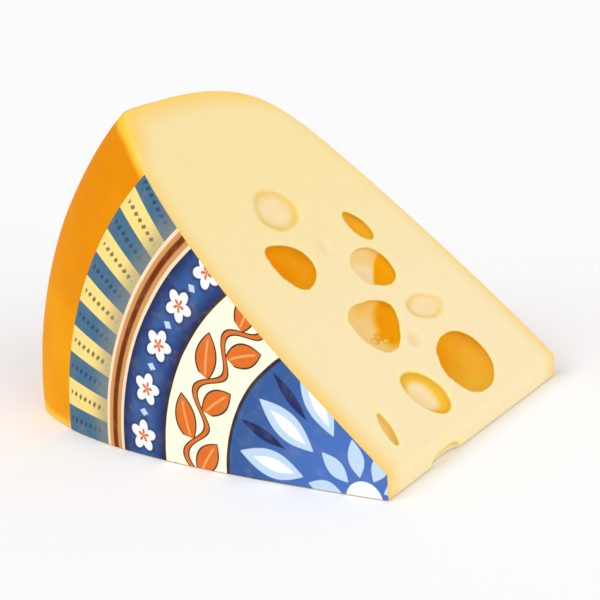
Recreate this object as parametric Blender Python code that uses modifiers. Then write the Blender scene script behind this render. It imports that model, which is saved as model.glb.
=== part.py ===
"""Cheese wedge: a slice of a domed wheel with round eyes, lying on its lower cut face.

Metres, +Z up. The wheel's axis runs along Y and the printed face looks towards -Y. The blunt
tip points towards +X and the rind towards -X. The origin is under the middle of the wedge.
"""

import math

import bmesh
import bpy
import numpy as np
from mathutils import Matrix, Vector

# The wheel that the wedge is cut from
WHEEL_RADIUS = 0.180
WHEEL_THICKNESS = 0.147
WIDEST_LINE = 0.034           # the widest line lies this far from the middle, on the printed side
PRINTED_DOME = 0.103          # share of its height that the printed face loses from centre to rim
PRINTED_FLATNESS = 3.23       # powers of the shoulder curve: higher is flatter, with a tighter turn
PRINTED_SHOULDER = 1.30
BACK_DOME = 0.199
BACK_FLATNESS = 16.2
BACK_SHOULDER = 2.87
PROFILE_SAMPLES = 900
PROFILE_POINTS = 40
PROFILE_TURN_WEIGHT = 0.035   # metres of straight profile that one radian of turning counts as
WHEEL_STEPS = 128

# The cuts that make the wedge
WEDGE_ANGLE = math.radians(42.5)
TIP_HEIGHT = 0.0103
AXIS_BEHIND_TIP = 0.0102
AXIS_BELOW_BASE = 0.0016
CUTTER_SIZE = 0.6

# The printed sheet on the flat face
LABEL_RADIUS = 0.1492
LABEL_GAP = 0.0003
LABEL_THICKNESS = 0.0003
LABEL_RINGS = 12

CHEESE_COLOUR = (0.94, 0.76, 0.43, 1.0)
LABEL_COLOUR = (0.10, 0.20, 0.42, 1.0)

# Eyes, in millimetres and degrees: distance from the tip, distance across, long half of the
# mouth, short half, turn of the long half away from the tip's direction, depth of the hollow
MILLIMETRE = 0.001
TOP_EYES = (
    (112.0, -5.0, 13.0, 9.4, 75, 2.6),
    (87.5, -24.7, 11.2, 9.6, 165, 9.0),
    (90.5, 31.0, 7.8, 4.7, 170, 4.0),
    (71.8, 16.6, 12.9, 9.1, 85, 7.0),
    (50.0, -11.9, 15.8, 11.2, 82, 9.0),
    (47.2, 26.3, 13.6, 6.2, 93, 2.2),
    (18.6, 16.0, 17.2, 13.6, 73, 10.5),
    (16.7, -18.0, 12.3, 9.4, 152, 7.0),
    (13.1, -53.8, 7.3, 2.7, 23, 4.0),
)
BASE_EYES = (
    (44.0, -24.0, 9.5, 7.0, 40, 4.0),
    (58.0, 29.0, 12.5, 9.0, 100, 6.5),
    (76.0, -34.0, 8.0, 5.5, 15, 5.0),
    (109.0, 39.0, 10.5, 8.5, 60, 7.5),
    (122.0, -21.0, 14.0, 10.5, 80, 9.0),
    (139.0, 14.0, 9.0, 6.0, 150, 4.5),
    (149.0, -45.0, 7.5, 5.0, 110, 4.0),
)
TIP_EYE_PLACE = Vector((0.0025, -0.032, 0.0045))    # from the foot of the tip
TIP_EYE_HALVES = (0.0065, 0.0125, 0.0048)
DEEP_EYE_SHARE = 0.5          # an eye deeper than this share of its short half opens narrower
DEEP_EYE_SINK = 0.25          # its widest line lies this share of its depth under the face
DISH_RISE = 1.2               # a shallow dish is the foot of a ball centred this far above it
LARGE_EYE = 9.0
LARGE_EYE_SEGMENTS = 28
SMALL_EYE_SEGMENTS = 20

# The sheet stands proud on one side only, so the cheese is moved by half of that
TIP_FOOT = Vector(((WHEEL_RADIUS + AXIS_BEHIND_TIP) / 2, (LABEL_GAP + LABEL_THICKNESS) / 2, 0.0))
TIP_TOP = TIP_FOOT + Vector((0.0, 0.0, TIP_HEIGHT))
AXIS_PLACE = TIP_FOOT + Vector((-AXIS_BEHIND_TIP, 0.0, -AXIS_BELOW_BASE))
ACROSS = Vector((0.0, 1.0, 0.0))
UP_THE_FACE = Vector((-math.cos(WEDGE_ANGLE), 0.0, math.sin(WEDGE_ANGLE)))
TOP_NORMAL = Vector((math.sin(WEDGE_ANGLE), 0.0, math.cos(WEDGE_ANGLE)))
BASE_NORMAL = Vector((0.0, 0.0, -1.0))
TIP_NORMAL = Vector((1.0, 0.0, 0.0))


def clear_scene():
    for thing in list(bpy.data.objects):
        bpy.data.objects.remove(thing, do_unlink=True)


def new_collection(name):
    collection = bpy.data.collections.new(name)
    bpy.context.scene.collection.children.link(collection)
    return collection


def principled(name, colour, roughness):
    material = bpy.data.materials.new(name)
    material.use_nodes = True
    shader = material.node_tree.nodes["Principled BSDF"]
    shader.inputs["Base Color"].default_value = colour
    shader.inputs["Roughness"].default_value = roughness
    shader.inputs["Metallic"].default_value = 0.0
    return material


def printed_face(radius):
    """Height of the printed face along the wheel's axis, measured from the middle of the wheel."""
    share = min(radius / WHEEL_RADIUS, 1.0)
    height = WHEEL_THICKNESS / 2 - WIDEST_LINE
    dome = 1 - PRINTED_DOME * share**2
    return WIDEST_LINE + height * dome * (1 - share**PRINTED_FLATNESS) ** (1 / PRINTED_SHOULDER)


def back_face(radius):
    """Height of the plain back face along the wheel's axis, below the middle of the wheel."""
    share = min(radius / WHEEL_RADIUS, 1.0)
    height = WHEEL_THICKNESS / 2 + WIDEST_LINE
    dome = 1 - BACK_DOME * share**2
    return WIDEST_LINE - height * dome * (1 - share**BACK_FLATNESS) ** (1 / BACK_SHOULDER)


def spread(curve, count):
    """Pick count points of a fine curve, closer together where the curve turns."""
    steps = np.diff(curve, axis=0)
    lengths = np.hypot(steps[:, 0], steps[:, 1])
    headings = np.unwrap(np.arctan2(steps[:, 1], steps[:, 0]))
    turns = np.concatenate(([0.0], np.abs(np.diff(headings))))
    travelled = np.concatenate(([0.0], np.cumsum(lengths + PROFILE_TURN_WEIGHT * turns)))
    wanted = np.linspace(0.0, travelled[-1], count)
    radii = np.interp(wanted, travelled, curve[:, 0])
    heights = np.interp(wanted, travelled, curve[:, 1])
    return list(zip(radii, heights))


def wheel_profile():
    """Half section of the wheel, from the printed centre over the rim to the back centre."""
    radii = WHEEL_RADIUS * np.sin(np.linspace(0.0, math.pi / 2, PROFILE_SAMPLES))
    front = [(radius, printed_face(radius)) for radius in radii]
    back = [(radius, back_face(radius)) for radius in radii[::-1]]
    return spread(np.array(front + back[1:]), PROFILE_POINTS)


def label_profile():
    """Half section of the sheet: out along its face, over its edge and back along its underside."""
    radii = np.linspace(0.0, LABEL_RADIUS, LABEL_RINGS)
    inner = [(radius, printed_face(radius) + LABEL_GAP) for radius in radii]
    outer = [(radius, height + LABEL_THICKNESS) for radius, height in inner]
    return outer + inner[::-1]


def turned(name, profile, collection, material):
    """A solid turned about the wheel's axis from a half section of (radius, height) points."""
    mesh = bpy.data.meshes.new(name)
    points = [(radius, 0.0, height) for radius, height in profile]
    edges = [(index, index + 1) for index in range(len(points) - 1)]
    mesh.from_pydata(points, edges, [])
    mesh.materials.append(material)
    solid = bpy.data.objects.new(name, mesh)
    solid.location = AXIS_PLACE
    solid.rotation_euler = (math.pi / 2, 0.0, 0.0)
    collection.objects.link(solid)
    screw = solid.modifiers.new("turn", "SCREW")
    screw.steps = WHEEL_STEPS
    screw.render_steps = WHEEL_STEPS
    screw.use_merge_vertices = True
    screw.merge_threshold = 0.0001
    screw.use_smooth_shade = True
    return solid


def file_cutter(cutter, collection):
    """Put a cutter in its collection alone, drawn as wire and left out of renders."""
    for owner in list(cutter.users_collection):
        owner.objects.unlink(cutter)
    collection.objects.link(cutter)
    cutter.hide_render = True
    cutter.display_type = "WIRE"


def slab(name, corner, normal, collection):
    """A large block whose one side is a knife cut through corner, facing along normal."""
    bpy.ops.mesh.primitive_cube_add(size=CUTTER_SIZE)
    block = bpy.context.object
    block.name = name
    block.rotation_mode = "QUATERNION"
    block.rotation_quaternion = Vector((0.0, 0.0, 1.0)).rotation_difference(normal)
    block.location = corner + normal * CUTTER_SIZE / 2
    file_cutter(block, collection)


def hollow(name, place, halves, frame, segments, collection):
    """An ellipsoid cutter with the given half sizes along the three axes of frame."""
    mesh = bpy.data.meshes.new(name)
    form = bmesh.new()
    bmesh.ops.create_uvsphere(form, u_segments=segments, v_segments=segments // 2, radius=1.0)
    size = Matrix.Diagonal((*halves, 1.0))
    bmesh.ops.transform(form, matrix=frame.to_4x4() @ size, verts=form.verts)
    form.to_mesh(mesh)
    form.free()
    cutter = bpy.data.objects.new(name, mesh)
    cutter.location = place
    file_cutter(cutter, collection)


def carve_eyes(name, eyes, start, forward, normal, collection):
    """Hollows in a cut face, each an ellipsoid whose mouth on the face has the given half sizes."""
    for number, (distance, offset, long_half, short_half, turn, depth) in enumerate(eyes, 1):
        angle = math.radians(turn)
        long_axis = forward * math.cos(angle) + ACROSS * math.sin(angle)
        short_axis = normal.cross(long_axis)
        frame = Matrix((long_axis, short_axis, normal)).transposed()
        is_deep = depth > DEEP_EYE_SHARE * short_half
        centre = -DEEP_EYE_SINK * depth if is_deep else DISH_RISE * depth
        deep_half = depth + centre
        mouth = math.sqrt(1 - (centre / deep_half) ** 2)
        halves = Vector((long_half / mouth, short_half / mouth, deep_half)) * MILLIMETRE
        place = start + (forward * distance + ACROSS * offset + normal * centre) * MILLIMETRE
        segments = LARGE_EYE_SEGMENTS if long_half > LARGE_EYE else SMALL_EYE_SEGMENTS
        hollow(f"{name}_{number}", place, halves, frame, segments, collection)


def cut_by(solid, collection):
    boolean = solid.modifiers.new("cut", "BOOLEAN")
    boolean.operation = "DIFFERENCE"
    boolean.operand_type = "COLLECTION"
    boolean.collection = collection
    boolean.solver = "EXACT"


def make_cheese(parts):
    """The wedge: a turned wheel with its rind, cut by three planes and by the eyes they open."""
    cutters = new_collection("cheese_cutters")
    slab("base_cut", TIP_FOOT, BASE_NORMAL, cutters)
    slab("tip_cut", TIP_FOOT, TIP_NORMAL, cutters)
    slab("top_cut", TIP_TOP, TOP_NORMAL, cutters)
    carve_eyes("top_eye", TOP_EYES, TIP_TOP, UP_THE_FACE, TOP_NORMAL, cutters)
    carve_eyes("base_eye", BASE_EYES, TIP_FOOT, -TIP_NORMAL, BASE_NORMAL, cutters)
    straight = Matrix.Identity(3)
    hollow("tip_eye", TIP_FOOT + TIP_EYE_PLACE, TIP_EYE_HALVES, straight, LARGE_EYE_SEGMENTS, cutters)
    material = principled("cheese", CHEESE_COLOUR, 0.45)
    cheese = turned("cheese", wheel_profile(), parts, material)
    cut_by(cheese, cutters)


def make_label(parts):
    """The printed sheet, which follows the flat face and ends at the same cuts."""
    cutters = new_collection("label_cutters")
    slab("label_base_cut", TIP_FOOT - BASE_NORMAL * LABEL_GAP, BASE_NORMAL, cutters)
    slab("label_tip_cut", TIP_FOOT, TIP_NORMAL, cutters)
    slab("label_top_cut", TIP_TOP, TOP_NORMAL, cutters)
    material = principled("label", LABEL_COLOUR, 0.4)
    label = turned("label", label_profile(), parts, material)
    cut_by(label, cutters)


def main():
    clear_scene()
    parts = new_collection("cheese_wedge")
    make_cheese(parts)
    make_label(parts)


main()
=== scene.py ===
"""Looks of the cheese wedge: cut paste with round eyes, a coated rind and a printed sheet.

Metres, +Z up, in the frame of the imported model. The wheel's axis runs along Y, the printed face
looks towards -Y, the blunt tip towards +X and the rind towards -X.
"""

import math
from collections import namedtuple
from functools import partialmethod

import bmesh
import bpy
import numpy as np
from bpy.props import FloatProperty, FloatVectorProperty, IntProperty, PointerProperty
from mathutils import Matrix, Vector


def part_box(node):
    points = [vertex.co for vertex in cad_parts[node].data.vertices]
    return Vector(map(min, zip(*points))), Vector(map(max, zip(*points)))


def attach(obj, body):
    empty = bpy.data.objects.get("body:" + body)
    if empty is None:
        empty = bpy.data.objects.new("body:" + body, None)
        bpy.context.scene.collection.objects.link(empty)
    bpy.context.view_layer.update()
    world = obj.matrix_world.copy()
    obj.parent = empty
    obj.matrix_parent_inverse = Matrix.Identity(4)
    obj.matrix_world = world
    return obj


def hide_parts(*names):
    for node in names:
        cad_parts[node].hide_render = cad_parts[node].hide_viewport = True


bl_info = {
    "name": "Cheese wedge",
    "version": (1, 0, 0),
    "blender": (4, 5, 0),
    "location": "3D View > Sidebar > Cheese",
    "description": "Builds a cheese wedge with eyes, a coated rind and a printed sheet",
    "category": "Object",
}

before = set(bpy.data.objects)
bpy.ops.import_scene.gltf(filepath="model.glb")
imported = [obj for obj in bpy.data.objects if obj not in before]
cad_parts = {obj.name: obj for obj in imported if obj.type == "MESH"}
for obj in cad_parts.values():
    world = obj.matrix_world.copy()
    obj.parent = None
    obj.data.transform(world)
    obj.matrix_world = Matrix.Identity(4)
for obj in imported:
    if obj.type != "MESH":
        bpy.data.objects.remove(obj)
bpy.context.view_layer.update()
CHEESE_LOW, CHEESE_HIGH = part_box("cheese")

MILLIMETRE = 0.001
ACROSS = Vector((0.0, 1.0, 0.0))
UP = Vector((0.0, 0.0, 1.0))
BASE_NORMAL = -UP
TIP_NORMAL = Vector((1.0, 0.0, 0.0))
TIP_FOOT = Vector((CHEESE_HIGH[0], (CHEESE_LOW[1] + CHEESE_HIGH[1]) / 2, 0.0))

# A bubble, in millimetres and degrees: distance from the tip, distance across, the mouth's half
# sizes, turn of the first one away from the tip's direction, depth under the cut, and how much
# narrower the first one's end is. Then its painted light and shade, from 0 for a pale lit floor to
# 1
# for an orange shaded wall: in the middle, added at the rim, and added towards one side, with where
# that starts and how softly.
Bubble = namedtuple(
    "Bubble",
    (
        "distance", "offset", "long_half", "short_half", "turn", "depth",
        "taper", "tint", "ring", "lean", "side", "shift", "blur",
    ),
    defaults=(0.0, 0.5, 0.0, 0.0, 0.0, 0.0, 1.0),
)
TOP_BUBBLES = (
    Bubble(112.0, -5.2, 14.4, 11.0, 75, 1.7, tint=0.02, ring=0.26, lean=0.08, side=140),
    Bubble(88.4, -24.6, 11.3, 10.6, -30, 9.0, taper=0.34, tint=0.86, ring=-0.06),
    Bubble(90.6, 31.2, 7.9, 5.2, 170, 5.0, taper=-0.10, tint=0.72, ring=-0.10),
    Bubble(
        71.8, 17.0, 11.8, 9.3, 91, 6.8, taper=-0.15, tint=0.0, ring=0.20,
        lean=0.78, side=135, shift=0.43, blur=0.06,
    ),
    Bubble(
        50.6, -8.7, 15.5, 10.7, 76, 8.0, taper=0.40, tint=0.18, ring=0.10,
        lean=0.66, side=106, shift=0.52, blur=0.20,
    ),
    Bubble(49.7, -8.9, 2.6, 2.3, 20, 9.4, tint=0.10, ring=0.6),
    Bubble(46.6, -8.1, 2.3, 2.1, 70, 9.2, tint=0.26, ring=0.6),
    Bubble(47.6, -4.3, 2.2, 2.4, 40, 9.0, tint=0.36, ring=0.6),
    Bubble(44.2, -3.4, 2.0, 2.0, 0, 7.9, tint=0.26, ring=0.6),
    Bubble(46.4, 26.2, 13.8, 7.4, 96, 1.6, tint=0.0, ring=0.26, lean=0.12, side=140),
    Bubble(
        18.3, 18.2, 16.8, 13.1, 70, 10.0, taper=0.02, tint=0.56, ring=-0.02,
        lean=0.22, side=-41, blur=0.8,
    ),
    Bubble(16.9, -18.0, 12.1, 9.6, 148, 4.4, tint=0.04, ring=0.60),
    Bubble(13.7, -53.6, 7.7, 2.4, 19, 4.0, tint=0.14, ring=0.14),
    Bubble(90.0, 2.0, 6.0, 4.0, 67, 0.7, tint=0.04),
    Bubble(37.0, 2.5, 6.0, 4.6, 61, 0.7, tint=0.08),
)
BASE_BUBBLES = (
    Bubble(44.0, -24.0, 9.5, 7.0, 40, 4.0, tint=0.30, ring=0.30),
    Bubble(58.0, 29.0, 12.5, 9.0, 100, 6.5, taper=0.25, tint=0.70),
    Bubble(76.0, -34.0, 8.0, 5.5, 15, 5.0, tint=0.55, ring=0.20),
    Bubble(109.0, 39.0, 10.5, 8.5, 60, 7.5, taper=0.30, tint=0.85),
    Bubble(122.0, -21.0, 14.0, 10.5, 80, 9.0, taper=-0.20, tint=0.35, lean=0.50, side=120),
    Bubble(139.0, 14.0, 9.0, 6.0, 150, 4.5, tint=0.30, ring=0.30),
    Bubble(149.0, -45.0, 7.5, 5.0, 110, 4.0, tint=0.45),
)
TIP_BUBBLES = (Bubble(0.9, -27.5, 3.6, 12.5, 0, 3.0, tint=0.06, ring=0.06),)
# A bubble deeper than a share of its half width is a deep eye, its middle sunk under the cut by a
# share of its depth. Any other is a dish, its middle over the cut by a share of its depth.
DEEP_EYE_SHARE, DEEP_EYE_SINK, DISH_RISE = 0.5, 0.25, 1.2
NARROWEST = 0.2  # Least width that a taper leaves, as a share.
RING_SHADE = (0.45, 0.88)  # Where a bubble's painted rim shade starts and is full, as shares of its mouth.

# Where parts of the cheese's colour start and are full, in millimetres.
MOUTH_DEPTH = 2.5  # Only deeper bubbles have a painted shaded rim and a painted glow round the mouth.
WALL_FADE = (3.0, 1.8)  # From a bubble's wall.
EYE_RIM_SHADE, LIP_GLOW = (2.8, 0.5), (2.2, 0.5)  # From the edge of a mouth: painted shade inside it, painted glow outside it.
EYE_START, DEEP_SHADE_START, CUT_MARKS = (0.2, 1.0), (2.5, 9.0), (0.9, 0.45)  # Under the nearest cut. The second is painted shade in an eye's depths.
THIN_COAT = (5.0, 1.2)  # From the nearest cut, along the rind.
RIND_START = (-1.0, 1.4)  # How much nearer to the rind than to a cut.
RIND_DEPTH, PASTE_BAND, RIM_BAND = (3.5, 2.5), (7.0, 24.0), 24.0  # Under the rind.
RIND_SKIN = (0.0016, 0.0002)  # Depths in metres over which the rind's waves end.
SHEET_MARGIN = 0.00025  # From the sheet's edge to the cut, in metres.
KEY_PLACE, FILL_PLACE = (-0.55, -0.95, 1.10), (1.15, -0.35, 0.62)  # Where the lights shine from.


def srgb(red, green, blue):
    """A colour given in 0 to 255 as a screen shows it, in Blender's linear values."""
    shares = (channel / 255 for channel in (red, green, blue))
    return tuple(s / 12.92 if s <= 0.04045 else ((s + 0.055) / 1.055) ** 2.4 for s in shares)


def length(name, description, default):
    return FloatProperty(
        name=name, description=description, default=default, unit="LENGTH", precision=5
    )


def number(name, description, default):
    return FloatProperty(name=name, description=description, default=default)


def degrees(name, description, default):
    return FloatProperty(
        name=name, description=description, default=math.radians(default), subtype="ANGLE"
    )


def whole(name, description, default):
    return IntProperty(name=name, description=description, default=default)


def colour(name, description, *channels):
    return FloatVectorProperty(
        name=name, description=description, default=srgb(*channels), subtype="COLOR", min=0, max=1
    )


class WheelSizes(bpy.types.PropertyGroup):
    """Sizes of the wheel and of the cuts through it."""

    radius: length("Wheel radius", "Half of the width of the whole wheel", 0.180)
    thickness: length("Wheel thickness", "Thickness of the wheel at its middle", 0.147)
    widest_line: length("Widest line", "How far the widest line lies from the middle", 0.034)
    widest_rounding: length("Widest rounding", "How softly the section turns there", 0.0035)
    printed_dome: number("Printed dome", "Share lost to the rim", 0.103)
    printed_flatness: number("Printed flatness", "Shoulder power", 3.23)
    printed_shoulder: number("Printed shoulder", "Shoulder root", 1.30)
    back_dome: number("Back dome", "Share lost to the rim", 0.199)
    back_flatness: number("Back flatness", "Shoulder power", 16.2)
    back_shoulder: number("Back shoulder", "Shoulder root", 2.87)
    wedge_angle: degrees("Wedge angle", "Angle between the cuts", 42.5)
    tip_height: length("Tip height", "Height of the blunt tip", 0.0103)
    axis_behind_tip: length("Axis behind tip", "From the tip in to the wheel's axis", 0.0102)
    axis_below_base: length("Axis below base", "From the base down to the wheel's axis", 0.0016)


class PasteLooks(bpy.types.PropertyGroup):
    """Fineness and colours of the cheese, with painted light and shade in its eyes and on its rind.
    """

    grain: length("Grain", "Size of the faces that the form is first made of", 0.0006)
    soft_rounds: whole("Soft rounds", "How often edges are relaxed", 8)
    rind_rounding: length("Rind rounding", "Radius of the edges between bare rind and cuts", 0.0030)
    sheet_rounding: length("Sheet rounding", "Radius of the edges along the sheet", 0.0008)
    base_rounding: number("Base rounding", "Share of it at the base", 0.3)
    triangles: whole("Triangles", "How many are kept at the end", 190000)
    unevenness: length("Uneven eyes", "How far an eye's wall wanders", 0.0016)
    lump: length("Lump size", "Size of the lumps in an eye's wall", 0.011)
    seed: whole("Seed", "Draw for the unevenness", 7)
    wave: length("Wave size", "Width of the slow waves", 0.018)
    rind_relief: length("Rind relief", "Depth of the slow waves in the rind", 0.0006)
    cut_relief: length("Cut relief", "Depth of the slow waves in the cut faces", 0.0003)
    paste: colour("Paste", "Cut cheese at the tip", 251, 230, 186)
    paste_outer: colour("Outer paste", "Cut cheese half way to the rind", 248, 226, 166)
    paste_near: colour("Near paste", "Cut cheese near the rind", 249, 216, 142)
    paste_under: colour("Paste under rind", "Cut cheese close under the rind", 254, 208, 106)
    paste_edge: colour("Paste edge", "Cut cheese right at the rind", 252, 204, 82)
    # Painted glow: light showing through the thin paste round an eye's mouth.
    lip_glow: colour("Halo", "Paste round an eye", 255, 236, 160)
    # Painted light and shade in the eyes: pale for a lit floor, gold and orange for shaded walls.
    eye_pale: colour("Pale eye", "Floor of a shallow eye", 250, 226, 180)
    eye_gold: colour("Golden eye", "Wall of a shallow eye", 239, 194, 62)
    eye_orange: colour("Orange eye", "Wall of a deep eye", 240, 170, 2)
    # Painted shade in the deepest part of an eye.
    eye_depth_shade: colour("Deep eye", "Deepest part of an eye", 238, 148, 0)
    # Painted shade just inside an eye's mouth.
    eye_rim_shade: colour("Eye rim", "Wall just inside an eye's mouth", 202, 152, 42)
    rind: colour("Rind", "Coated rind", 232, 140, 0)
    # Lighter rind in random patches and flecks, and painted shading that makes the rind lighter
    # towards the floor.
    rind_patches_and_low_light: colour("Light rind", "Rind where its coating is thin", 244, 162, 0)
    rind_edge: colour("Rind edge", "Rind right at a cut", 252, 198, 58)


class SheetLooks(bpy.types.PropertyGroup):
    """Sizes and colours of the printed sheet."""

    radius: length("Sheet radius", "Outer edge of the sheet", 0.1492)
    sunk: length("Sunk", "How far the sheet's underside presses into the rind", 0.00015)
    proud: length("Proud", "How far the sheet's face stands off the rind", 0.00025)
    stripes_in: length("Stripes in", "Inner edge of the striped band", 0.1236)
    ring_in: length("Ring in", "Inner edge of the lined ring", 0.1138)
    field_in: length("Field in", "Inner edge of the blue field", 0.0915)
    band_in: length("Band in", "Inner edge of the cream band", 0.0600)
    stripe_pairs: whole("Stripe pairs", "Pairs round the whole wheel", 40)
    mark_pitch: length("Mark pitch", "From one mark to the next along a stripe", 0.0031)
    mark_blue: colour("Mark blue", "Marks on the blue stripes", 28, 60, 104)
    stripe_blue: colour("Stripe blue", "Blue stripes", 70, 111, 140)
    stripe_cream: colour("Stripe cream", "Cream stripes", 254, 224, 136)
    # Painted shade: the stripes grey towards the ring.
    stripe_shade: colour("Stripe_shade", "Stripes near the ring", 140, 142, 128)
    cream_line: colour("Cream line", "Thin lines beside the ring", 250, 226, 190)
    tan: colour("Tan", "Light part of the ring", 214, 150, 88)
    brown: colour("Brown", "Dark line in the ring", 112, 48, 4)
    field: colour("Field", "Blue field", 56, 94, 154)
    navy: colour("Navy", "Dark blue shading", 38, 48, 98)
    white: colour("White", "White motifs", 250, 250, 255)
    cream: colour("Cream", "Cream band", 254, 250, 226)
    ink: colour("Ink", "Dark outlines", 60, 46, 50)
    leaf: colour("Leaf", "Orange leaves", 226, 114, 40)
    leaf_light: colour("Light leaf", "Veins of the leaves", 248, 168, 96)
    sky: colour("Sky", "Middle blue", 76, 116, 190)
    sky_light: colour("Light sky", "Pale petals", 196, 220, 244)
    paper: colour("Paper", "Cut edge of the sheet", 238, 206, 150)


class StageLooks(bpy.types.PropertyGroup):
    """Camera, lights and floor."""

    azimuth: degrees("Azimuth", "From -Y", 32.45)
    elevation: degrees("Elevation", "Of the camera", 16.37)
    roll: degrees("Roll", "Of the camera", 4.42)
    distance: length("Distance", "From the camera to its target", 0.768)
    target_behind_tip: length("Target behind tip", "Where the camera looks", 0.0782)
    target_height: length("Target height", "Where the camera looks", 0.0472)
    lens: FloatProperty(name="Lens", description="Focal length", default=113.8, unit="CAMERA")
    floor: colour("Floor", "Pale floor", 255, 255, 255)
    floor_size: length("Floor size", "Width of the floor", 40.0)
    floor_gap: length("Floor gap", "From the floor up to the cheese", 0.0002)
    sky_strength: number("Sky strength", "Even light", 0.58)
    key_strength: number("Key strength", "Soft light from the left", 1.12)
    fill_strength: number("Fill strength", "Soft light from the right", 0.98)
    softness: degrees("Softness", "Width of both soft lights", 45)


def new_object(name, mesh):
    thing = bpy.data.objects.new(name, mesh)
    bpy.context.scene.collection.objects.link(thing)
    return thing


def modify(thing, kind, **settings):
    modifier = thing.modifiers.new(kind.lower(), kind)
    for name, value in settings.items():
        setattr(modifier, name, value)
    return modifier


def baked(thing):
    """The object's shape with its modifiers applied, as a new mesh; the object is removed."""
    evaluated = thing.evaluated_get(bpy.context.evaluated_depsgraph_get())
    mesh = bpy.data.meshes.new_from_object(evaluated)
    bpy.data.objects.remove(thing, do_unlink=True)
    return mesh


def up_the_face(wheel):
    return Vector((-math.cos(wheel.wedge_angle), 0.0, math.sin(wheel.wedge_angle)))


def top_normal(wheel):
    return Vector((math.sin(wheel.wedge_angle), 0.0, math.cos(wheel.wedge_angle)))


def tip_top(wheel):
    return TIP_FOOT + Vector((0.0, 0.0, wheel.tip_height))


def axis_place(wheel):
    return TIP_FOOT + Vector((-wheel.axis_behind_tip, 0.0, -wheel.axis_below_base))


def cuts(wheel):
    """A point and the outward normal of each cut: base, tip and top."""
    return (
        (TIP_FOOT, BASE_NORMAL),
        (TIP_FOOT, TIP_NORMAL),
        (tip_top(wheel), top_normal(wheel)),
    )


def domed(wheel, radii, height, dome, flatness, shoulder):
    """How far a face of the given height in its middle lies from the widest line."""
    shares = np.clip(radii / wheel.radius, 0.0, 1.0)
    return height * (1 - dome * shares**2) * (1 - shares**flatness) ** (1 / shoulder)


def printed_face(wheel, radii):
    """Heights of the printed face along the axis, from the middle of the wheel."""
    shape = (wheel.printed_dome, wheel.printed_flatness, wheel.printed_shoulder)
    height = wheel.thickness / 2 - wheel.widest_line
    return wheel.widest_line + domed(wheel, radii, height, *shape)


def back_face(wheel, radii):
    """Heights of the plain back face along the axis."""
    shape = (wheel.back_dome, wheel.back_flatness, wheel.back_shoulder)
    height = wheel.thickness / 2 + wheel.widest_line
    return wheel.widest_line - domed(wheel, radii, height, *shape)


def softened(curve, width, step=0.00025):
    """The curve in even steps, averaged over a bell of the given width; its ends stay in place."""
    runs = np.concatenate(([0.0], np.cumsum(np.hypot(*np.diff(curve, axis=0).T))))
    even = np.arange(0.0, runs[-1], step)
    reach = int(3 * width / step)
    bell = np.exp(-0.5 * (np.arange(-reach, reach + 1) * step / width) ** 2)
    sides = []
    for side in (0, 1):
        line = np.interp(even, runs, curve[:, side])
        padded = np.pad(line, reach, mode="reflect", reflect_type="odd" if side == 0 else "even")
        sides.append(np.convolve(padded, bell / bell.sum(), mode="valid"))
    soft = np.column_stack(sides)
    soft[0, 0] = soft[-1, 0] = 0.0
    return soft


def wheel_profile(wheel, count=110, samples=3000, turn_weight=0.035):
    """Half section of the wheel as (radius, height), closer together where it turns."""
    radii = wheel.radius * np.sin(np.linspace(0.0, math.pi / 2, samples))
    front = np.column_stack((radii, printed_face(wheel, radii)))
    back = np.column_stack((radii, back_face(wheel, radii)))[::-1]
    curve = softened(np.vstack((front, back[1:])), wheel.widest_rounding)
    steps = np.diff(curve, axis=0)
    headings = np.unwrap(np.arctan2(steps[:, 1], steps[:, 0]))
    turns = np.concatenate(([0.0], np.abs(np.diff(headings))))
    strides = np.hypot(steps[:, 0], steps[:, 1]) + turn_weight * turns
    travelled = np.concatenate(([0.0], np.cumsum(strides)))
    wanted = np.linspace(0.0, travelled[-1], count)
    return np.column_stack([np.interp(wanted, travelled, curve[:, side]) for side in (0, 1)])


def turned(name, wheel, profile, steps, merge_gap=0.00005):
    """An object turned about the wheel's axis from a half section of (radius, height)."""
    mesh = bpy.data.meshes.new(name)
    points = [(radius, 0.0, height) for radius, height in profile]
    mesh.from_pydata(points, [(index, index + 1) for index in range(len(points) - 1)], [])
    solid = new_object(name, mesh)
    solid.location = axis_place(wheel)
    solid.rotation_euler = (math.pi / 2, 0.0, 0.0)
    merging = {"use_merge_vertices": True, "merge_threshold": merge_gap}
    modify(solid, "SCREW", steps=steps, render_steps=steps, **merging)
    place = Matrix.LocRotScale(solid.location, solid.rotation_euler, None)
    made = baked(solid)
    made.transform(place)
    return new_object(name, made)


def slab(name, corner, normal, size=0.6):
    """A large block whose one side is a knife cut through corner, facing along normal."""
    bpy.ops.mesh.primitive_cube_add(size=size)
    block = bpy.context.object
    block.name = name
    turn = UP.rotation_difference(normal)
    block.data.transform(Matrix.LocRotScale(corner + normal * size / 2, turn, None))
    return block


def cut_frames(wheel):
    """For each cut: its bubbles, where distances start, their direction and the outward normal."""
    return (
        (TOP_BUBBLES, tip_top(wheel), up_the_face(wheel), top_normal(wheel)),
        (BASE_BUBBLES, TIP_FOOT, -TIP_NORMAL, BASE_NORMAL),
        (TIP_BUBBLES, TIP_FOOT, UP, TIP_NORMAL),
    )


def hollows(wheel):
    """Place, half sizes and turn of the ellipsoid that makes each bubble."""
    rows = []
    for bubbles_of_cut, start, forward, normal in cut_frames(wheel):
        for bubble in bubbles_of_cut:
            angle = math.radians(bubble.turn)
            first = forward * math.cos(angle) + ACROSS * math.sin(angle)
            is_deep = bubble.depth > DEEP_EYE_SHARE * bubble.short_half
            centre = (-DEEP_EYE_SINK if is_deep else DISH_RISE) * bubble.depth
            deep_half = bubble.depth + centre
            mouth = math.sqrt(1 - (centre / deep_half) ** 2)
            halves = Vector((bubble.long_half / mouth, bubble.short_half / mouth, deep_half))
            offset = forward * bubble.distance + ACROSS * bubble.offset + normal * centre
            turn = Matrix((first, normal.cross(first), normal)).transposed()
            rows.append((bubble, start + offset * MILLIMETRE, halves * MILLIMETRE, turn))
    return rows


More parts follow.
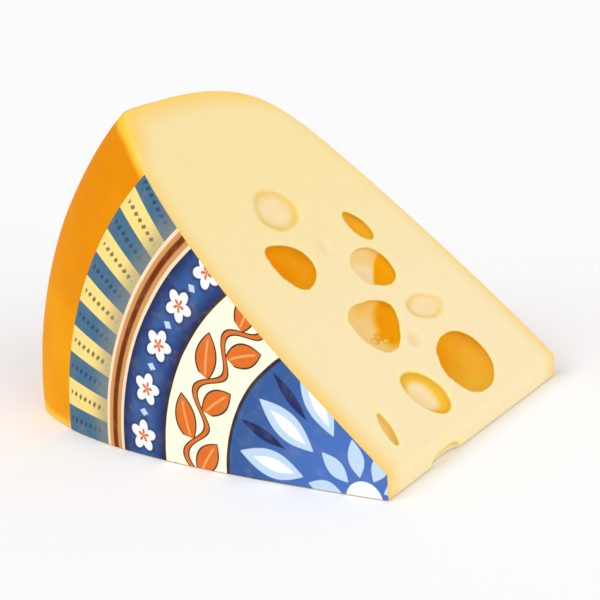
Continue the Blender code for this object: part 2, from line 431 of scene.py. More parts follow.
class Nodes:
    """Adds nodes to a tree with their settings and inputs, and links them."""

    def __init__(self, tree):
        self.tree = tree

    def add(self, kind, inputs=None, **settings):
        node = self.tree.nodes.new(kind)
        for name, value in settings.items():
            setattr(node, name, value)
        for name, value in (inputs or {}).items():
            if isinstance(value, bpy.types.NodeSocket):
                self.tree.links.new(value, node.inputs[name])
            else:
                node.inputs[name].default_value = value
        return node

    def math(self, operation, *values):
        return self.add("ShaderNodeMath", dict(enumerate(values)), operation=operation).outputs[0]

    def vector(self, operation, *values, **named):
        inputs = {**dict(enumerate(values)), **named}
        return self.add("ShaderNodeVectorMath", inputs, operation=operation).outputs[0]

    def field(self, output, kind, inputs=None, **settings):
        return Field(self, self.add(kind, inputs, **settings).outputs[output])

    def lumps(self, size, seed, detail):
        inputs = {"Scale": self.math("DIVIDE", 1.0, size), "W": seed, "Detail": detail}
        return self.add("ShaderNodeTexNoise", inputs, noise_dimensions="4D").outputs[0]

    def outward(self, distance):
        """A move along the surface's normal."""
        normal = self.add("GeometryNodeInputNormal").outputs[0]
        return self.vector("SCALE", normal, Scale=distance)

    def attribute(self, name, data_type="FLOAT_VECTOR"):
        node = self.add("GeometryNodeInputNamedAttribute", {"Name": name}, data_type=data_type)
        return node.outputs["Attribute"]

    def end_tree(self, shape, offset, material, result):
        """End a Geometry Nodes tree: points moved, instances realized, material set."""
        moved = self.add("GeometryNodeSetPosition", {"Geometry": shape, "Offset": offset})
        plain = self.add("GeometryNodeRealizeInstances", {"Geometry": moved.outputs[0]})
        inputs = {"Geometry": plain.outputs[0], "Material": material}
        painted = self.add("GeometryNodeSetMaterial", inputs)
        self.add("NodeGroupOutput", {result: painted.outputs[0]})


def new_tree(name, source, numbers, result):
    """A Geometry Nodes tree with a geometry, some numbers and a material as its inputs."""
    tree = bpy.data.node_groups.new(name, "GeometryNodeTree")
    kinds = {source: "Geometry", **dict.fromkeys(numbers, "Float"), "Material": "Material"}
    for socket, kind in kinds.items():
        tree.interface.new_socket(socket, in_out="INPUT", socket_type="NodeSocket" + kind)
    tree.interface.new_socket(result, in_out="OUTPUT", socket_type="NodeSocketGeometry")
    return tree


def bubble_tree():
    """Geometry Nodes: an uneven bubble on every point, by its half sizes, turn and taper."""
    numbers = ("Unevenness", "Lump Size", "Seed")
    tree = new_tree("uneven_bubbles", "Points", numbers, "Bubbles")
    nodes = Nodes(tree)
    given = nodes.add("NodeGroupInput").outputs
    halves = nodes.attribute("halves")
    turn = nodes.attribute("turn")
    taper = nodes.attribute("taper", "FLOAT")
    ball = nodes.add("GeometryNodeMeshIcoSphere", {"Radius": 1.0, "Subdivisions": 6})
    position = nodes.add("GeometryNodeInputPosition").outputs[0]
    kept = nodes.add(
        "GeometryNodeStoreNamedAttribute",
        {"Geometry": ball.outputs["Mesh"], "Name": "on_ball", "Value": position},
        data_type="FLOAT_VECTOR",
    )
    placed = nodes.add(
        "GeometryNodeInstanceOnPoints",
        {"Points": given["Points"], "Instance": kept.outputs[0], "Scale": halves, "Rotation": turn},
    )
    realized = nodes.add("GeometryNodeRealizeInstances", {"Geometry": placed.outputs[0]})
    on_ball = nodes.attribute("on_ball")
    sized = nodes.vector("MULTIPLY", on_ball, halves)
    parts = nodes.add("ShaderNodeSeparateXYZ", {0: sized}).outputs
    along = nodes.add("ShaderNodeSeparateXYZ", {0: on_ball}).outputs[0]
    squeeze = nodes.math("MULTIPLY", nodes.math("MULTIPLY", along, taper), -1.0)
    narrowed = nodes.add("ShaderNodeCombineXYZ", {"Y": nodes.math("MULTIPLY", parts[1], squeeze)})
    turned_back = nodes.add(
        "ShaderNodeVectorRotate",
        {"Vector": narrowed.outputs[0], "Rotation": turn},
        rotation_type="EULER_XYZ",
    )
    height = nodes.math("SUBTRACT", nodes.lumps(given["Lump Size"], given["Seed"], 1.0), 0.5)
    lumps = nodes.outward(nodes.math("MULTIPLY", height, given["Unevenness"]))
    offset = nodes.vector("ADD", lumps, turned_back.outputs[0])
    nodes.end_tree(realized.outputs[0], offset, given["Material"], "Bubbles")
    return tree


def set_inputs(modifier, values):
    """Set a Geometry Nodes modifier's inputs, found by name and set by identifier."""
    for item in modifier.node_group.interface.items_tree:
        if item.item_type == "SOCKET" and item.in_out == "INPUT" and item.name in values:
            modifier[item.identifier] = values[item.name]


def bubbles(wheel, looks):
    """One object with a closed uneven bubble for every hollow."""
    shapes, places, halves, turns = zip(*hollows(wheel))
    mesh = bpy.data.meshes.new("eyes")
    mesh.from_pydata(places, [], [])
    store(mesh, "halves", halves)
    store(mesh, "turn", [turn.to_euler() for turn in turns])
    store(mesh, "taper", [bubble.taper for bubble in shapes])
    points = new_object("eyes", mesh)
    values = {"Unevenness": looks.unevenness, "Lump Size": looks.lump, "Seed": float(looks.seed)}
    set_inputs(modify(points, "NODES", node_group=bubble_tree()), values)
    modify(points, "REMESH", mode="VOXEL", voxel_size=looks.grain)
    return new_object("eyes", baked(points))


def store(mesh, name, values):
    """Keep one number or one vector for each point on the mesh."""
    values = np.array(values, dtype=np.float32)
    kind, field = ("FLOAT", "value") if values.ndim == 1 else ("FLOAT_VECTOR", "vector")
    layer = mesh.attributes.get(name) or mesh.attributes.new(name, kind, "POINT")
    layer.data.foreach_set(field, values.ravel())


def read_points(mesh):
    points = np.empty(len(mesh.vertices) * 3)
    mesh.vertices.foreach_get("co", points)
    return points.reshape(-1, 3)


def depths_in_wheel(wheel, points):
    """How deep each point lies in the wheel, and the direction straight out of the wheel there."""
    place = axis_place(wheel)
    sideways = np.column_stack((points[:, 0] - place.x, points[:, 2] - place.z))
    radii = np.hypot(sideways[:, 0], sideways[:, 1])
    flat = np.column_stack((radii, place.y - points[:, 1]))
    profile = wheel_profile(wheel)
    runs = np.diff(profile, axis=0)
    square = np.column_stack((-runs[:, 1], runs[:, 0])) / np.hypot(*runs.T)[:, None]
    across = np.vstack((square[:1], (square[1:] + square[:-1]) / 2, square[-1:]))
    depths = np.full(len(points), np.inf)
    outward = np.zeros_like(flat)
    for index, run in enumerate(runs):
        share = np.clip((flat - profile[index]) @ run / (run @ run), 0.0, 1.0)
        gap = flat - profile[index] - share[:, None] * run
        distance = np.hypot(gap[:, 0], gap[:, 1])
        closer = distance < depths
        depths[closer] = distance[closer]
        outward[closer] = across[index] + share[closer, None] * (across[index + 1] - across[index])
    turns = sideways / np.maximum(radii, MILLIMETRE)[:, None] * outward[:, :1]
    return depths, np.column_stack((turns[:, 0], -outward[:, 1], turns[:, 1]))


def round_edges(wheel, looks, sheet, points):
    """Points with the edges between rind and cuts rounded, widely where the rind is bare."""
    depths, outward = depths_in_wheel(wheel, points)
    is_bare = bare_rind(wheel, sheet, points)
    base, _, top = cuts(wheel)
    for (start, normal), share in ((base, looks.base_rounding), (top, 1.0)):
        widest = max(looks.rind_rounding * share, looks.sheet_rounding)
        radius = looks.sheet_rounding + (widest - looks.sheet_rounding) * is_bare
        from_cut = radius + (points - np.array(start)) @ np.array(normal)
        from_rind = radius - depths
        reach = np.hypot(from_cut, from_rind)
        is_corner = (from_cut > 0) & (from_rind > 0) & (reach > radius)
        pull = np.where(is_corner, 1 - radius / np.maximum(reach, radius), 0.0)
        past = from_cut[:, None] * np.array(normal) + from_rind[:, None] * outward
        points = points - pull[:, None] * past
    return points


def smoothstep(values, low, high):
    share = np.clip((values - low) / (high - low), 0.0, 1.0)
    return share * share * (3 - 2 * share)


def bubble_masks(wheel, points):
    """How orange each point is as painted eye shade, how near a bubble's wall, how far from a deep
    one's mouth.
    """
    nearest = np.full(len(points), np.inf)
    tint = np.zeros(len(points))
    mouth_gap = np.full(len(points), np.inf)
    for bubble, place, halves, turn in hollows(wheel):
        local = (points - np.array(place)) @ np.array(turn)
        local[:, 1] /= np.maximum(1 - bubble.taper * local[:, 0] / halves[0], NARROWEST)
        wall_gap = np.abs(np.linalg.norm(local / np.array(halves), axis=1) - 1) * min(halves)
        sizes = np.array((bubble.long_half, bubble.short_half)) * MILLIMETRE
        flat = local[:, :2] / sizes
        reach = np.hypot(flat[:, 0], flat[:, 1])
        side = math.radians(bubble.turn - bubble.side)
        towards = flat @ np.array((math.cos(side), math.sin(side)))
        step = smoothstep(towards, bubble.shift - bubble.blur, bubble.shift + bubble.blur)
        # Painted light and shade: the middle's value, changed at the rim and towards one side, pale
        # where lit and orange where shaded.
        value = bubble.tint + bubble.ring * smoothstep(reach, *RING_SHADE) + bubble.lean * step
        closer = wall_gap < nearest
        tint[closer] = value[closer]
        nearest[closer] = wall_gap[closer]
        if bubble.depth > MOUTH_DEPTH:
            under = bubble.depth * MILLIMETRE - halves[2] - local[:, 2]
            beside = (reach - 1) * min(sizes)
            mouth_gap = np.minimum(mouth_gap, np.hypot(beside, under))
    near_wall = smoothstep(nearest, *(gap * MILLIMETRE for gap in WALL_FADE))
    return np.clip(tint, 0.0, 1.0), near_wall, mouth_gap / MILLIMETRE


def bare_rind(wheel, sheet, points, edge=(-0.001, 0.012), back=(-0.03, 0.0)):
    """1 off the sheet and 0 under it, eased outside its edge and towards the back."""
    place = axis_place(wheel)
    radii = np.hypot(points[:, 0] - place.x, points[:, 2] - place.z)
    is_outside = smoothstep(radii - sheet.radius, *edge)
    return np.maximum(is_outside, smoothstep(points[:, 1], *back))


def relief_tree():
    """Geometry Nodes: slow waves pressed into the surface, as deep as its points say."""
    tree = new_tree("waves", "Cheese", ("Wave Size", "Seed"), "Cheese")
    nodes = Nodes(tree)
    given = nodes.add("NodeGroupInput").outputs
    waves = nodes.lumps(given["Wave Size"], given["Seed"], 2.0)
    depth = nodes.math("MULTIPLY", nodes.attribute("wave_depth", "FLOAT"), waves)
    offset = nodes.outward(nodes.math("MULTIPLY", depth, -1.0))
    nodes.end_tree(given["Cheese"], offset, given["Material"], "Cheese")
    return tree


def bare(value):
    return value.socket if isinstance(value, Field) else value


class Field:
    """A shader value that sums and products can be written with, one Math node for each."""

    def __init__(self, nodes, socket):
        self.nodes = nodes
        self.socket = socket

    def math(self, operation, *others):
        return Field(self.nodes, self.nodes.math(operation, self.socket, *map(bare, others)))

    __add__ = __radd__ = partialmethod(math, "ADD")
    __sub__ = partialmethod(math, "SUBTRACT")
    __mul__ = __rmul__ = partialmethod(math, "MULTIPLY")
    least = partialmethod(math, "MINIMUM")
    most = partialmethod(math, "MAXIMUM")
    size = partialmethod(math, "ABSOLUTE")
    root = partialmethod(math, "SQRT")
    fraction = partialmethod(math, "FRACT")
    sine = partialmethod(math, "SINE")
    angle = partialmethod(math, "ARCTAN2")  # Of the flat vector (other, this).

    def __rsub__(self, other):
        return Field(self.nodes, self.nodes.math("SUBTRACT", other, self.socket))

    def away(self, other):
        """Length of the flat vector with this and other as its parts."""
        return (self * self + other * other).root()

    def ease(self, low, high):
        """0 at low and 1 at high, eased between, and the other way round if low is above high."""
        is_falling = low > high
        ends = {
            "Value": self.socket,
            "From Min": min(low, high),
            "From Max": max(low, high),
            "To Min": float(is_falling),
            "To Max": float(not is_falling),
        }
        return self.nodes.field(0, "ShaderNodeMapRange", ends, interpolation_type="SMOOTHSTEP")

    def between(self, low, high, soft):
        """1 from low to high, with soft edges."""
        return self.ease(low - soft, low + soft) * self.ease(high + soft, high - soft)


def opaque(value):
    return value if isinstance(value, bpy.types.NodeSocket) else (*value, 1.0)


class Surface:
    """A material under construction: its nodes, its position fields and its shader."""

    def __init__(self, name, **uniform):
        self.material = bpy.data.materials.new(name)
        self.material.use_nodes = True
        self.nodes = Nodes(self.material.node_tree)
        self.shader = self.material.node_tree.nodes["Principled BSDF"]
        for socket, value in uniform.items():
            self.shader.inputs[socket.replace("_", " ")].default_value = value
        self.place = self.nodes.add("ShaderNodeTexCoord").outputs["Object"]
        parts = self.nodes.add("ShaderNodeSeparateXYZ", {0: self.place}).outputs
        self.x, self.y, self.z = (Field(self.nodes, part) for part in parts)

    def attribute(self, name):
        return self.nodes.field("Fac", "ShaderNodeAttribute", attribute_name=name)

    def noise(self, scale, detail=2.0, roughness=0.5, stretch=None):
        place = self.place
        if stretch:
            inputs = {"Vector": place, "Scale": stretch}
            place = self.nodes.add("ShaderNodeMapping", inputs).outputs[0]
        inputs = {"Vector": place, "Scale": scale, "Detail": detail, "Roughness": roughness}
        return self.nodes.field(0, "ShaderNodeTexNoise", inputs)

    def cells(self, scale):
        inputs = {"Vector": self.place, "Scale": scale}
        return self.nodes.field("Distance", "ShaderNodeTexVoronoi", inputs)

    def beyond(self, start, normal):
        """Distance of the surface beyond the plane through start."""
        inputs = {0: self.place, 1: normal}
        along = self.nodes.field("Value", "ShaderNodeVectorMath", inputs, operation="DOT_PRODUCT")
        return along - Vector(start).dot(normal)

    def mix(self, factor, first, second):
        inputs = {0: bare(factor), 6: opaque(first), 7: opaque(second)}
        return self.nodes.add("ShaderNodeMix", inputs, data_type="RGBA").outputs[2]

    def layered(self, shade, *layers):
        """A colour with others laid over it in turn, from (share, colour) pairs."""
        for share, other in layers:
            shade = self.mix(share, shade, other)
        return shade

    def ramp(self, value, *stops):
        """Colour by value, from (place, colour) pairs."""
        node = self.nodes.add("ShaderNodeValToRGB", {0: bare(value)})
        elements = node.color_ramp.elements
        while len(elements) < len(stops):
            elements.new(1.0)
        for element, (place, shade) in zip(elements, stops):
            element.position = place
            element.color = opaque(shade)
        return node.outputs[0]

    def bump(self, height, distance):
        normal = self.shader.inputs["Normal"]
        inputs = {"Height": height.socket, "Distance": distance}
        if normal.is_linked:
            inputs["Normal"] = normal.links[0].from_socket
        self.put("Normal", self.nodes.add("ShaderNodeBump", inputs).outputs[0])

    def put(self, name, value):
        self.material.node_tree.links.new(bare(value), self.shader.inputs[name])


def cheese_material(wheel, looks, sheet):
    """Paste, eyes and rind in one material, told apart by their place; eyes and rind carry painted
    light and shade.
    """
    surface = Surface(
        "cheese",
        IOR=1.25,
        Specular_IOR_Level=0.08,
        Subsurface_Weight=0.20,
        Subsurface_Radius=(1.0, 0.78, 0.35),
        Subsurface_Scale=0.004,
    )
    rind_depth = surface.attribute("rind_depth")
    mouth_gap = surface.attribute("mouth_gap")
    planes = [surface.beyond(start, normal) * (1 / MILLIMETRE) for start, normal in cuts(wheel)]
    under_cut = planes[0].most(planes[1]).most(planes[2]) * -1.0
    in_eye = under_cut.ease(*EYE_START) * surface.attribute("near_wall")
    near_rind = (under_cut - rind_depth).ease(*RIND_START) * rind_depth.ease(*RIND_DEPTH)
    on_rind = near_rind * (1.0 - in_eye)
    place = axis_place(wheel)
    radius = (surface.x - place.x).away(surface.z - place.z)

    cloud = surface.noise(50.0, 3.0, 0.55)
    fleck = surface.noise(420.0, 2.0, 0.6)
    by_sheet = radius.ease(sheet.radius + 0.020, sheet.radius)
    inner = surface.mix(radius.ease(0.150, 0.020), looks.paste_outer, looks.paste)
    paler = by_sheet * (2.5 + 3.0 * radius.ease(0.03, 0.10))
    rim = surface.ramp(
        (rind_depth + 3.0 * (cloud - 0.5) + paler) * (1 / RIM_BAND),
        (0.03, looks.paste_edge),
        (0.11, looks.paste_under),
        (0.34, looks.paste_near),
        (0.60, looks.paste_outer),
    )
    paste = surface.layered(
        rim,
        ((rind_depth + 8.0 * by_sheet).ease(*PASTE_BAND), inner),
        (fleck.ease(0.45, 0.8) * 0.22, looks.paste_near),
        (surface.noise(26.0).ease(0.45, 0.8) * 0.25, looks.paste_outer),
        # Painted glow round a deep eye's mouth.
        (mouth_gap.ease(*LIP_GLOW) * 0.6, looks.lip_glow),
    )

    # Eyes: painted light and shade, pale where lit and orange where shaded, with random mottling.
    mottle = 0.22 * (cloud - 0.5) + 0.14 * (surface.noise(150.0) - 0.5)
    tint = surface.attribute("eye_painted_shade") + mottle
    stops = (0.0, looks.eye_pale), (0.42, looks.eye_gold), (0.85, looks.eye_orange)
    eye = surface.layered(
        surface.ramp(tint, *stops),
        # Painted shade in an eye's depths.
        (under_cut.ease(*DEEP_SHADE_START) * tint.ease(0.45, 0.9) * 0.7, looks.eye_depth_shade),
        # Painted shade just inside the mouth.
        (mouth_gap.ease(*EYE_RIM_SHADE) * (0.30 + 0.35 * tint), looks.eye_rim_shade),
    )

    # Lighter rind in random patches, and painted shading: lighter towards the floor, darker towards
    # the top.
    patch_and_low_light = surface.noise(22.0, 3.0, 0.5) + (0.060 - surface.z) * 4.0
    from_cut = under_cut - 2.2 * radius.ease(0.164, 0.178)
    rind = surface.layered(
        looks.rind,
        (patch_and_low_light.ease(0.3, 0.8), looks.rind_patches_and_low_light),
        (fleck.ease(0.5, 0.8) * 0.2, looks.rind_patches_and_low_light),
        (from_cut.ease(*THIN_COAT), looks.rind_edge),
    )

    surface.put("Base Color", surface.layered(paste, (in_eye, eye), (on_rind, rind)))
    surface.put("Roughness", 0.50 - 0.16 * in_eye + 0.12 * (fleck - 0.5))
    surface.put("Coat Weight", in_eye * 0.07)

    drag = surface.noise(700.0, 2.0, 0.5, (1.0, 0.06, 1.0))
    pits = surface.cells(650.0).ease(0.0, 0.25)
    surface.bump(drag * under_cut.ease(*CUT_MARKS), 0.00006)
    surface.bump((pits * 0.4 + fleck) * (1.0 - 0.7 * in_eye), 0.00010)
    surface.bump(surface.noise(170.0, 3.0, 0.55) * (1.0 + 0.8 * on_rind), 0.00022)
    return surface.material


def in_cell(angle, count, shift=0.0, middle=0.5):
    """Angle from the middle of the cell that it lies in, of a count of cells round the wheel."""
    cell = 2 * math.pi / count
    return ((angle * (1 / cell) + shift).fraction() - middle) * cell


def print_stripes(surface, looks, radius, angle):
    """Radial stripes in two colours, each with a row of small marks down its middle."""
    phase = (angle - math.radians(0.65)) * (looks.stripe_pairs / (2 * math.pi))
    is_blue = phase.fraction().between(0.0, 0.5, 0.012)
    shade = surface.mix(is_blue, looks.stripe_cream, looks.stripe_blue)
    aside = ((phase * 2.0).fraction() - 0.5) * (math.pi / looks.stripe_pairs) * radius
    row = radius * (1 / looks.mark_pitch)
    outward = (row.fraction() - 0.5) * looks.mark_pitch
    slant = outward * 0.5 + aside
    rough = surface.noise(700.0) * 0.0012 - 0.0006
    diamond = slant.size() * 0.9 + outward.size() + rough
    mark = diamond.ease(0.00145, 0.00095) * radius.between(0.1262, 0.1474, 0.0006)
    ink = surface.mix(is_blue, looks.ink, looks.mark_blue)
    # Painted shade: the stripes grey over the last 13 mm towards the ring.
    stripe_shade = radius.ease(looks.stripes_in + 0.013, looks.stripes_in)
    return surface.layered(shade, (mark * 0.8, ink), (stripe_shade * 0.6, looks.stripe_shade))


def print_ring(surface, looks, radius, shade):
    """Cream, tan and brown lines round the striped band's inner edge."""
    low, wide = looks.ring_in, looks.stripes_in - looks.ring_in
    for start, end, soft, tint in (
        (0.0, 1.0, 0.00012, looks.cream_line),
        (0.16, 0.84, 0.00012, looks.tan),
        (0.37, 0.64, 0.0005, looks.brown),
    ):
        line = radius.between(low + start * wide, low + end * wide, soft)
        shade = surface.mix(line, shade, tint)
    return shade


def print_flowers(surface, looks, radius, angle, shade, count=32, heart=0.0036, petal=0.0030):
    """White five-petalled flowers and pale diamonds along the blue field."""
    middle = (looks.field_in + looks.ring_in) / 2
    beside = in_cell(angle, count) * middle
    outward = radius - middle
    petals = (outward.angle(beside) * 2.5 + math.pi / 2).sine().size()
    edge = beside.away(outward) - heart - petal * petals
    diamond = (in_cell(angle, count, 0.5) * middle).size() * 1.3 + outward.size()
    return surface.layered(
        shade,
        (edge.ease(0.0028, 0.0) * 0.75, looks.navy),
        (edge.ease(0.0002, -0.0002), looks.white),
        (edge.ease(-heart, -heart - 0.0003), looks.leaf),
        (diamond.ease(0.0024, 0.0020), looks.sky_light),
    )


def print_leaves(surface, looks, radius, angle, shade, waves=18, swing=0.0046):
    """An orange leaf scroll with dark outlines along the cream band."""
    lean, leaf_offset, leaf_length, leaf_width = math.radians(28), 0.0058, 0.0092, 0.0046
    middle = (looks.band_in + looks.field_in) / 2
    stem = (radius - middle - swing * (angle * float(waves)).sine()).size()
    shade = surface.layered(
        shade, (stem.ease(0.00175, 0.00145), looks.ink), (stem.ease(0.00105, 0.00080), looks.leaf)
    )
    for side in (0, 1):
        beside = in_cell(angle, waves, 0.5 * side, 0.25) * middle
        outward = (radius - middle) * (1.0 if side else -1.0) - leaf_offset
        share = (beside * math.cos(lean) + outward * math.sin(lean)) * (1 / leaf_length)
        aside = (outward * math.cos(lean) - beside * math.sin(lean)).size()
        edge = aside - leaf_width * (1.0 - share * share)
        shade = surface.layered(
            shade,
            (edge.ease(0.0007, 0.0004), looks.ink),
            (edge.ease(0.0000, -0.0003), looks.leaf),
            (aside.ease(0.00065, 0.0003) * share.size().ease(0.8, 0.6), looks.leaf_light),
        )
    return shade


def print_rosette(surface, looks, radius, angle):
    """A blue middle with two rows of pale petals round a white heart."""
    shade = surface.mix(radius.ease(0.018, 0.060), looks.sky, looks.field)
    for count, start, end, half, shift, tint in (
        (14, 0.026, 0.055, 0.0056, 0.0, looks.sky_light),
        (14, 0.030, 0.049, 0.0026, 0.0, looks.white),
        (14, 0.036, 0.058, 0.0022, 0.5, looks.navy),
        (10, 0.009, 0.024, 0.0034, 0.25, looks.sky_light),
    ):
        beside = in_cell(angle, count, shift) * radius
        share = (radius - start) * (math.pi / (end - start))
        swell = share.most(0.0).least(math.pi).sine()
        edge = beside.size() - swell * half
        shade = surface.mix(edge.ease(0.0002, -0.0003) * swell.ease(0.0, 0.1), shade, tint)
    return surface.mix(radius.ease(0.0080, 0.0076), shade, looks.white)


def sheet_material(wheel, looks, edge=0.0001):
    """The sheet's generic print: stripes, a lined ring, flowers, leaves and a rosette."""
    surface = Surface("sheet_print", IOR=1.3, Specular_IOR_Level=0.15)
    place = axis_place(wheel)
    forward = surface.x - place.x
    upward = surface.z - place.z
    wander = (surface.noise(60.0) - 0.5) * 0.0006
    radius = forward.away(upward) + wander
    angle = upward.angle(forward * -1.0)

    shade = print_rosette(surface, looks, radius, angle)
    leaves = print_leaves(surface, looks, radius, angle, looks.cream)
    rim_shade = radius.between(looks.field_in + 0.004, looks.ring_in - 0.004, 0.004)
    field = surface.mix(rim_shade, looks.navy, looks.field)
    flowers = print_flowers(surface, looks, radius, angle, field)
    stripes = print_stripes(surface, looks, radius, angle)
    starts = (looks.band_in, looks.field_in, looks.stripes_in)
    for start, band in zip(starts, (leaves, flowers, stripes)):
        shade = surface.mix(radius.ease(start - edge, start + edge), shade, band)
    for line in starts[:2]:
        shade = surface.mix((radius - line).size().ease(0.0008, 0.0006), shade, looks.ink)
    shade = print_ring(surface, looks, radius, shade)

    blot = surface.noise(180.0, 4.0, 0.6)
    fibre = surface.noise(1400.0, 2.0, 0.6)
    surface.put("Base Color", surface.mix(blot.ease(0.45, 0.8) * 0.08, shade, looks.paper))
    surface.put("Roughness", 0.45 + 0.16 * (blot - 0.5) + 0.10 * (fibre - 0.5))
    surface.bump(fibre, 0.00003)
    surface.bump(surface.noise(90.0, 3.0), 0.00015)
    return surface.material


def paper_material(looks):
    """The sheet's cut edge and underside."""
    surface = Surface("sheet_paper", Specular_IOR_Level=0.2)
    fibre = surface.noise(1500.0, 3.0, 0.6)
    shade = surface.mix(fibre.ease(0.4, 0.7) * 0.3, looks.paper, looks.stripe_cream)
    surface.put("Base Color", shade)
    surface.put("Roughness", 0.75 + 0.10 * (fibre - 0.5))
    surface.bump(fibre, 0.00004)
    return surface.material


class CHEESE_OT_wedge(bpy.types.Operator):
    """Build the wedge of cheese with its rind and eyes"""

    bl_idname = "cheese.wedge"
    bl_label = "Build cheese"

    def execute(self, context):
        wheel = context.scene.cheese_wheel
        looks = context.scene.cheese_paste
        sheet = context.scene.cheese_sheet
        solid = turned("wheel", wheel, wheel_profile(wheel), steps=256)
        cutters = [slab(f"cut_{number}", *cut) for number, cut in enumerate(cuts(wheel))]
        cutters.append(bubbles(wheel, looks))
        for cutter in cutters:
            modify(solid, "BOOLEAN", operation="DIFFERENCE", object=cutter, solver="MANIFOLD")
        modify(solid, "REMESH", mode="VOXEL", voxel_size=looks.grain)
        modify(solid, "SMOOTH", factor=0.5, iterations=looks.soft_rounds)
        mesh = baked(solid)
        for cutter in cutters:
            bpy.data.objects.remove(cutter, do_unlink=True)

        points = round_edges(wheel, looks, sheet, read_points(mesh))
        mesh.vertices.foreach_set("co", points.ravel())
        rind = smoothstep(depths_in_wheel(wheel, points)[0], *RIND_SKIN)
        is_bare = bare_rind(wheel, sheet, points)
        depths = rind * is_bare * looks.rind_relief + (1 - rind) * looks.cut_relief
        store(mesh, "wave_depth", depths)
        rough = new_object("rough_cheese", mesh)
        values = {
            "Wave Size": looks.wave,
            "Seed": float(looks.seed),
            "Material": cheese_material(wheel, looks, sheet),
        }
        set_inputs(modify(rough, "NODES", node_group=relief_tree()), values)
        modify(rough, "DECIMATE", ratio=looks.triangles / (2 * len(mesh.polygons)))

        cheese = new_object("cheese_body", baked(rough))
        points = read_points(cheese.data)
        store(cheese.data, "rind_depth", depths_in_wheel(wheel, points)[0] / MILLIMETRE)
        masks = bubble_masks(wheel, points)
        for name, values in zip(("eye_painted_shade", "near_wall", "mouth_gap"), masks):
            store(cheese.data, name, values)
        cheese.data.shade_smooth()
        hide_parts("cheese")
        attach(cheese, "root")
        return {"FINISHED"}


class CHEESE_OT_sheet(bpy.types.Operator):
    """Build the printed sheet on the flat face"""

    bl_idname = "cheese.sheet"
    bl_label = "Build printed sheet"

    def execute(self, context):
        wheel = context.scene.cheese_wheel
        looks = context.scene.cheese_sheet
        radii = np.linspace(0.0, looks.radius, 90)
        profile = np.column_stack((radii, printed_face(wheel, radii) - looks.sunk))
        disc = turned("disc", wheel, profile, steps=480)
        form = bmesh.new()
        form.from_mesh(disc.data)
        bmesh.ops.remove_doubles(form, verts=form.verts, dist=0.00002)
        for start, normal in cuts(wheel):
            bmesh.ops.bisect_plane(
                form,
                geom=form.verts[:] + form.edges[:] + form.faces[:],
                plane_co=start - normal * SHEET_MARGIN,
                plane_no=normal,
                clear_outer=True,
            )
        bmesh.ops.recalc_face_normals(form, faces=form.faces)
        if sum(face.normal.y * face.calc_area() for face in form.faces) > 0:
            bmesh.ops.reverse_faces(form, faces=form.faces)
        mesh = bpy.data.meshes.new("sheet")
        form.to_mesh(mesh)
        form.free()
        bpy.data.objects.remove(disc, do_unlink=True)
        mesh.materials.append(sheet_material(wheel, looks))
        mesh.materials.append(paper_material(looks))
        flat = new_object("flat_sheet", mesh)
        paper = {"material_offset": 1, "material_offset_rim": 1}
        modify(flat, "SOLIDIFY", thickness=looks.sunk + looks.proud, offset=1.0, **paper)
        sheet = new_object("printed_sheet", baked(flat))
        sheet.data.shade_smooth()
        sheet.data.set_sharp_from_angle(angle=math.radians(40))
        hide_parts("label")
        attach(sheet, "root")
        return {"FINISHED"}


def add_light(name, strength, softness, direction):
    light = bpy.data.lights.new(name, "SUN")
    light.energy = strength
    light.angle = softness
    lamp = bpy.data.objects.new(name, light)
    lamp.rotation_euler = Vector(direction).to_track_quat("Z", "Y").to_euler()
    bpy.context.scene.collection.objects.link(lamp)


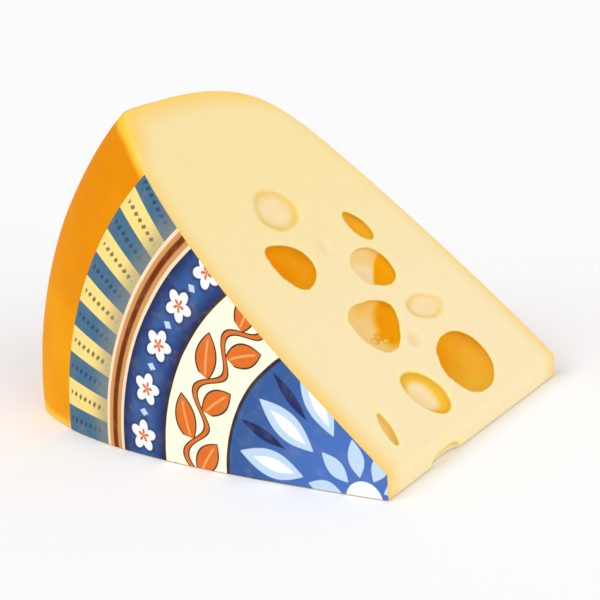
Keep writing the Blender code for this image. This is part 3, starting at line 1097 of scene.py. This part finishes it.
class CHEESE_OT_stage(bpy.types.Operator):
    """Build the floor, the soft lights and the camera"""

    bl_idname = "cheese.stage"
    bl_label = "Build stage"

    def execute(self, context):
        scene = context.scene
        looks = scene.cheese_stage
        bpy.ops.mesh.primitive_plane_add(size=looks.floor_size)
        floor = context.object
        floor.name = "floor"
        floor.location.z = -looks.floor_gap
        uniform = {"Base_Color": (*looks.floor, 1.0), "Roughness": 0.9, "Specular_IOR_Level": 0.1}
        floor.data.materials.append(Surface("floor", **uniform).material)

        world = bpy.data.worlds.new("studio")
        world.use_nodes = True
        background = world.node_tree.nodes["Background"]
        background.inputs["Color"].default_value = (1.0, 1.0, 1.0, 1.0)
        background.inputs["Strength"].default_value = looks.sky_strength
        scene.world = world
        scene.view_settings.view_transform = "Standard"

        add_light("key", looks.key_strength, looks.softness, KEY_PLACE)
        add_light("fill", looks.fill_strength, looks.softness, FILL_PLACE)

        camera = bpy.data.objects.new("camera", bpy.data.cameras.new("camera"))
        scene.collection.objects.link(camera)
        scene.camera = camera
        azimuth, elevation = looks.azimuth, looks.elevation
        back = Vector((
            math.sin(azimuth) * math.cos(elevation),
            -math.cos(azimuth) * math.cos(elevation),
            math.sin(elevation),
        ))
        right = Vector((math.cos(azimuth), math.sin(azimuth), 0.0))
        up = back.cross(right)
        cosine, sine = math.cos(looks.roll), math.sin(looks.roll)
        across = right * cosine - up * sine
        upward = right * sine + up * cosine
        target = TIP_FOOT + Vector((-looks.target_behind_tip, 0.0, looks.target_height))
        turn = Matrix((across, upward, back)).transposed()
        place = target + back * looks.distance
        camera.matrix_world = Matrix.LocRotScale(place, turn.to_quaternion(), None)
        camera.data.lens = looks.lens
        camera.data.sensor_width = 36.0
        camera.data.clip_start = 0.01
        camera.data.clip_end = 50.0
        return {"FINISHED"}


class CHEESE_PT_panel(bpy.types.Panel):
    """Sizes, colours and builders of the cheese wedge"""

    bl_label = "Cheese wedge"
    bl_idname = "CHEESE_PT_panel"
    bl_space_type = "VIEW_3D"
    bl_region_type = "UI"
    bl_category = "Cheese"

    def draw(self, context):
        for operator, settings in (
            ("cheese.wedge", "cheese_wheel"),
            ("cheese.wedge", "cheese_paste"),
            ("cheese.sheet", "cheese_sheet"),
            ("cheese.stage", "cheese_stage"),
        ):
            box = self.layout.box()
            group = getattr(context.scene, settings)
            for name in group.bl_rna.properties.keys():
                if name not in {"rna_type", "name"}:
                    box.prop(group, name)
            box.operator(operator)


SETTINGS = {
    "cheese_wheel": WheelSizes,
    "cheese_paste": PasteLooks,
    "cheese_sheet": SheetLooks,
    "cheese_stage": StageLooks,
}
OPERATORS = (CHEESE_OT_stage, CHEESE_OT_wedge, CHEESE_OT_sheet)
CLASSES = (*SETTINGS.values(), *OPERATORS, CHEESE_PT_panel)


def register():
    for kind in CLASSES:
        bpy.utils.register_class(kind)
    for name, kind in SETTINGS.items():
        setattr(bpy.types.Scene, name, PointerProperty(type=kind))


def unregister():
    for name in SETTINGS:
        delattr(bpy.types.Scene, name)
    for kind in reversed(CLASSES):
        bpy.utils.unregister_class(kind)


def main():
    register()
    bpy.ops.cheese.stage()
    bpy.ops.cheese.wedge()
    bpy.ops.cheese.sheet()


if __name__ == "__main__":
    main()
